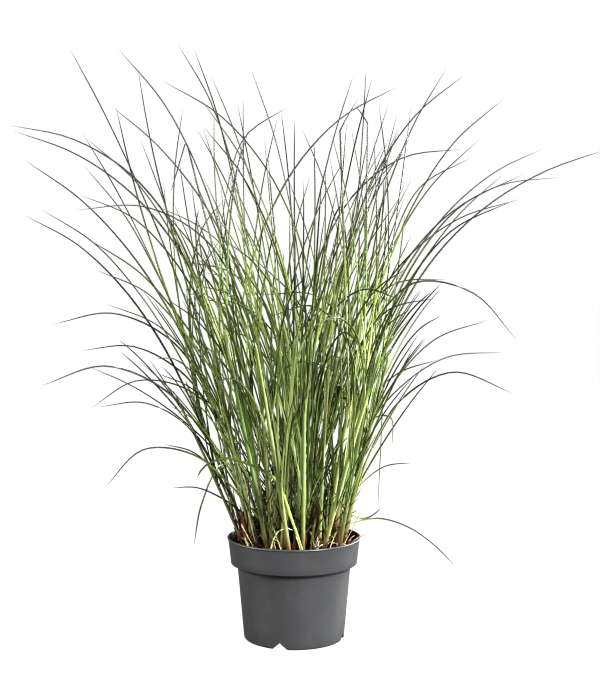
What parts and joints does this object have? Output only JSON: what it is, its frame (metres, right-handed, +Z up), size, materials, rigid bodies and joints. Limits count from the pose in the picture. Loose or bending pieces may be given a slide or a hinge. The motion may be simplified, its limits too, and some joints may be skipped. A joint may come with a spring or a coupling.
{
  "type": "potted gracillimus maiden grass",
  "caption": "Clump of fine, arching green grass leaves growing from the soil in a round nursery pot.",
  "frame": {"origin": "on the pot's axis, at the flat bottom that the pot stands on", "axes": "+Z up, along the pot's axis; +X to the right and -Y towards the viewer, as pictured"},
  "size_m": [0.7519, 0.6153, 0.7558],
  "materials": {
    "pot_plastic": "satin",
    "soil": "matte",
    "green_leaf": "satin",
    "dead_stub": "matte",
    "dead_straw": "matte"
  },
  "bodies": {
    "root": {"pot": "pot_plastic", "soil": "soil", "shoot_01": "green_leaf", "shoot_02": "green_leaf", "shoot_03": "green_leaf", "shoot_04": "green_leaf", "shoot_05": "green_leaf", "shoot_06": "green_leaf", "shoot_07": "green_leaf", "shoot_08": "green_leaf", "shoot_09": "green_leaf", "shoot_10": "green_leaf", "shoot_11": "green_leaf", "shoot_12": "green_leaf", "shoot_13": "green_leaf", "shoot_14": "green_leaf", "shoot_15": "green_leaf", "shoot_16": "green_leaf", "shoot_17": "green_leaf", "shoot_18": "green_leaf", "shoot_19": "green_leaf", "shoot_20": "green_leaf", "shoot_21": "green_leaf", "shoot_22": "green_leaf", "shoot_23": "green_leaf", "shoot_24": "green_leaf", "shoot_25": "green_leaf", "shoot_26": "green_leaf", "shoot_27": "green_leaf", "shoot_28": "green_leaf", "shoot_29": "green_leaf", "shoot_30": "green_leaf", "shoot_31": "green_leaf", "shoot_32": "green_leaf", "shoot_33": "green_leaf", "shoot_34": "green_leaf", "shoot_35": "green_leaf", "shoot_36": "green_leaf", "shoot_37": "green_leaf", "shoot_38": "green_leaf", "shoot_39": "green_leaf", "shoot_40": "green_leaf", "shoot_41": "green_leaf", "shoot_42": "green_leaf", "shoot_43": "green_leaf", "shoot_44": "green_leaf", "dead_stub_01": "dead_stub", "dead_stub_02": "dead_stub", "dead_stub_03": "dead_stub", "dead_stub_04": "dead_stub", "dead_straw_01": "dead_straw", "dead_straw_02": "dead_straw", "dead_straw_03": "dead_straw", "dead_straw_04": "dead_straw", "dead_straw_05": "dead_straw", "dead_straw_06": "dead_straw"}
  },
  "joints": []
}
